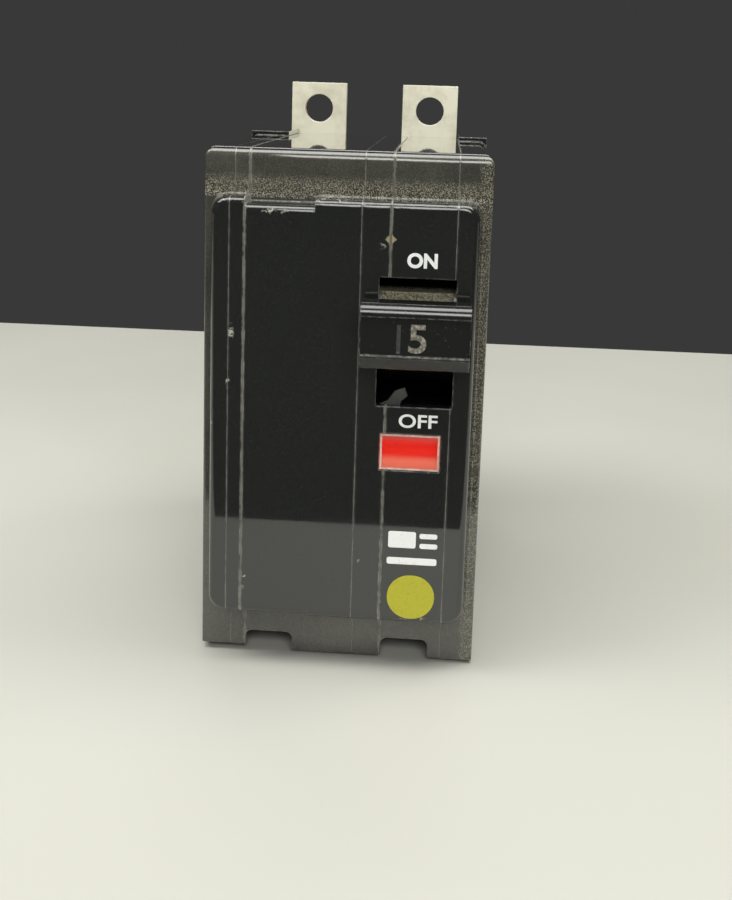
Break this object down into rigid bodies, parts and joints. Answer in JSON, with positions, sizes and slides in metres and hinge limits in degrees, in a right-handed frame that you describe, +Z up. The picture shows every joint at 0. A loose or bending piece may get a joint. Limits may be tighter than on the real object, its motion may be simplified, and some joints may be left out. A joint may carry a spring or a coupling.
{
  "type": "two-pole bolt-on circuit breaker",
  "caption": "Moulded-case breaker for two poles with a single front handle, red trip flag behind a window, bolt-on line straps and screw load terminals.",
  "frame": {"origin": "centre of the bounding box's footprint, at the underside of the rear feet (the load end)", "axes": "+Z up from the load end to the line end, -Y out of the face with the handle, +X to the right seen from the face"},
  "size_m": [0.0382, 0.0742, 0.0795],
  "materials": {
    "case_black": "glossy thermoset moulding, fine speckle and worn seam edges",
    "handle_black": "glossy moulded black with a worn marking",
    "rivet_steel": "zinc plated",
    "tinned_copper": "dull warm tin plate with fine scratches",
    "copper": "bare copper",
    "silver_contact": "silver alloy",
    "plated_steel": "zinc plated steel",
    "spring_steel": "music wire",
    "bimetal": "rolled bimetal",
    "vulcanised_fibre": "tan arc-resistant fibre",
    "trip_bar_plastic": "moulded nylon",
    "flag_red": "bright red moulding",
    "clear_lens": "clear moulded window"
  },
  "bodies": {
    "case": {"left_cover": "case_black", "centre_case": "case_black", "right_case": "case_black", "case_rivets": "rivet_steel", "flag_lens": "clear_lens", "flag_pin": "plated_steel", "pole_1_line_strap": "tinned_copper", "pole_1_fixed_contact": "silver_contact", "pole_1_arc_plates": "plated_steel", "pole_1_arc_chute": "vulcanised_fibre", "pole_1_cradle_pin": "plated_steel", "pole_1_bimetal": "bimetal", "pole_1_magnet_yoke": "plated_steel", "pole_1_braid": "copper", "pole_1_calibration_screw": "plated_steel", "pole_1_load_terminal": "tinned_copper", "pole_2_line_strap": "tinned_copper", "pole_2_fixed_contact": "silver_contact", "pole_2_arc_plates": "plated_steel", "pole_2_arc_chute": "vulcanised_fibre", "pole_2_cradle_pin": "plated_steel", "pole_2_bimetal": "bimetal", "pole_2_magnet_yoke": "plated_steel", "pole_2_braid": "copper", "pole_2_calibration_screw": "plated_steel", "pole_2_load_terminal": "tinned_copper"},
    "handle": {"handle": "handle_black", "slave_crank": "handle_black", "tie_shaft": "plated_steel"},
    "trip_bar": {"common_trip_bar": "trip_bar_plastic", "pole_1_armature": "plated_steel", "pole_2_armature": "plated_steel"},
    "trip_flag": {"trip_flag": "flag_red"},
    "arm_1": {"pole_1_contact_arm": "copper", "pole_1_moving_contact": "silver_contact", "pole_1_main_spring": "spring_steel"},
    "cradle_1": {"pole_1_cradle": "plated_steel"},
    "terminal_1": {"pole_1_terminal_screw": "plated_steel", "pole_1_pressure_plate": "plated_steel"},
    "arm_2": {"pole_2_contact_arm": "copper", "pole_2_moving_contact": "silver_contact", "pole_2_main_spring": "spring_steel"},
    "cradle_2": {"pole_2_cradle": "plated_steel"},
    "terminal_2": {"pole_2_terminal_screw": "plated_steel", "pole_2_pressure_plate": "plated_steel"}
  },
  "joints": [
    {"name": "handle_pivot", "type": "hinge", "parent": "case", "child": "handle", "pos_m": [0, -0.01825, 0.04815], "axis": [-1, 0, 0], "range_deg": [-14, 14]},
    {"name": "arm_1_pivot", "type": "hinge", "parent": "handle", "child": "arm_1", "pos_m": [-0.00953, -0.01185, 0.04815], "axis": [-1, 0, 0], "range_deg": [-4.9, 4.9]},
    {"name": "arm_2_pivot", "type": "hinge", "parent": "handle", "child": "arm_2", "pos_m": [0.00953, -0.01185, 0.04815], "axis": [-1, 0, 0], "range_deg": [-4.9, 4.9]},
    {"name": "cradle_1_pivot", "type": "hinge", "parent": "case", "child": "cradle_1", "pos_m": [-0.00953, -0.00625, 0.03315], "axis": [-1, 0, 0], "range_deg": [0, 16]},
    {"name": "cradle_2_pivot", "type": "hinge", "parent": "case", "child": "cradle_2", "pos_m": [0.00953, -0.00625, 0.03315], "axis": [-1, 0, 0], "range_deg": [0, 16]},
    {"name": "flag_pivot", "type": "hinge", "parent": "case", "child": "trip_flag", "pos_m": [0.00945, -0.01565, 0.0315], "axis": [1, 0, 0], "range_deg": [0, 34]},
    {"name": "trip_bar_pivot", "type": "hinge", "parent": "case", "child": "trip_bar", "pos_m": [0, 0.01725, 0.03565], "axis": [1, 0, 0], "range_deg": [0, 6], "stiffness_Nm_per_rad": 0.01},
    {"name": "terminal_1_screw", "type": "slide", "parent": "case", "child": "terminal_1", "axis": [0, 0.9397, 0.342], "range_m": [0, 0.0032]},
    {"name": "terminal_2_screw", "type": "slide", "parent": "case", "child": "terminal_2", "axis": [0, 0.9397, 0.342], "range_m": [0, 0.0032]}
  ],
  "couplings": [
    {"joint": "arm_1_pivot", "follows": "handle_pivot", "ratio": -0.35},
    {"joint": "arm_2_pivot", "follows": "handle_pivot", "ratio": -0.35},
    {"joint": "cradle_2_pivot", "follows": "cradle_1_pivot", "ratio": 1},
    {"joint": "flag_pivot", "follows": "cradle_1_pivot", "ratio": 2.125}
  ]
}
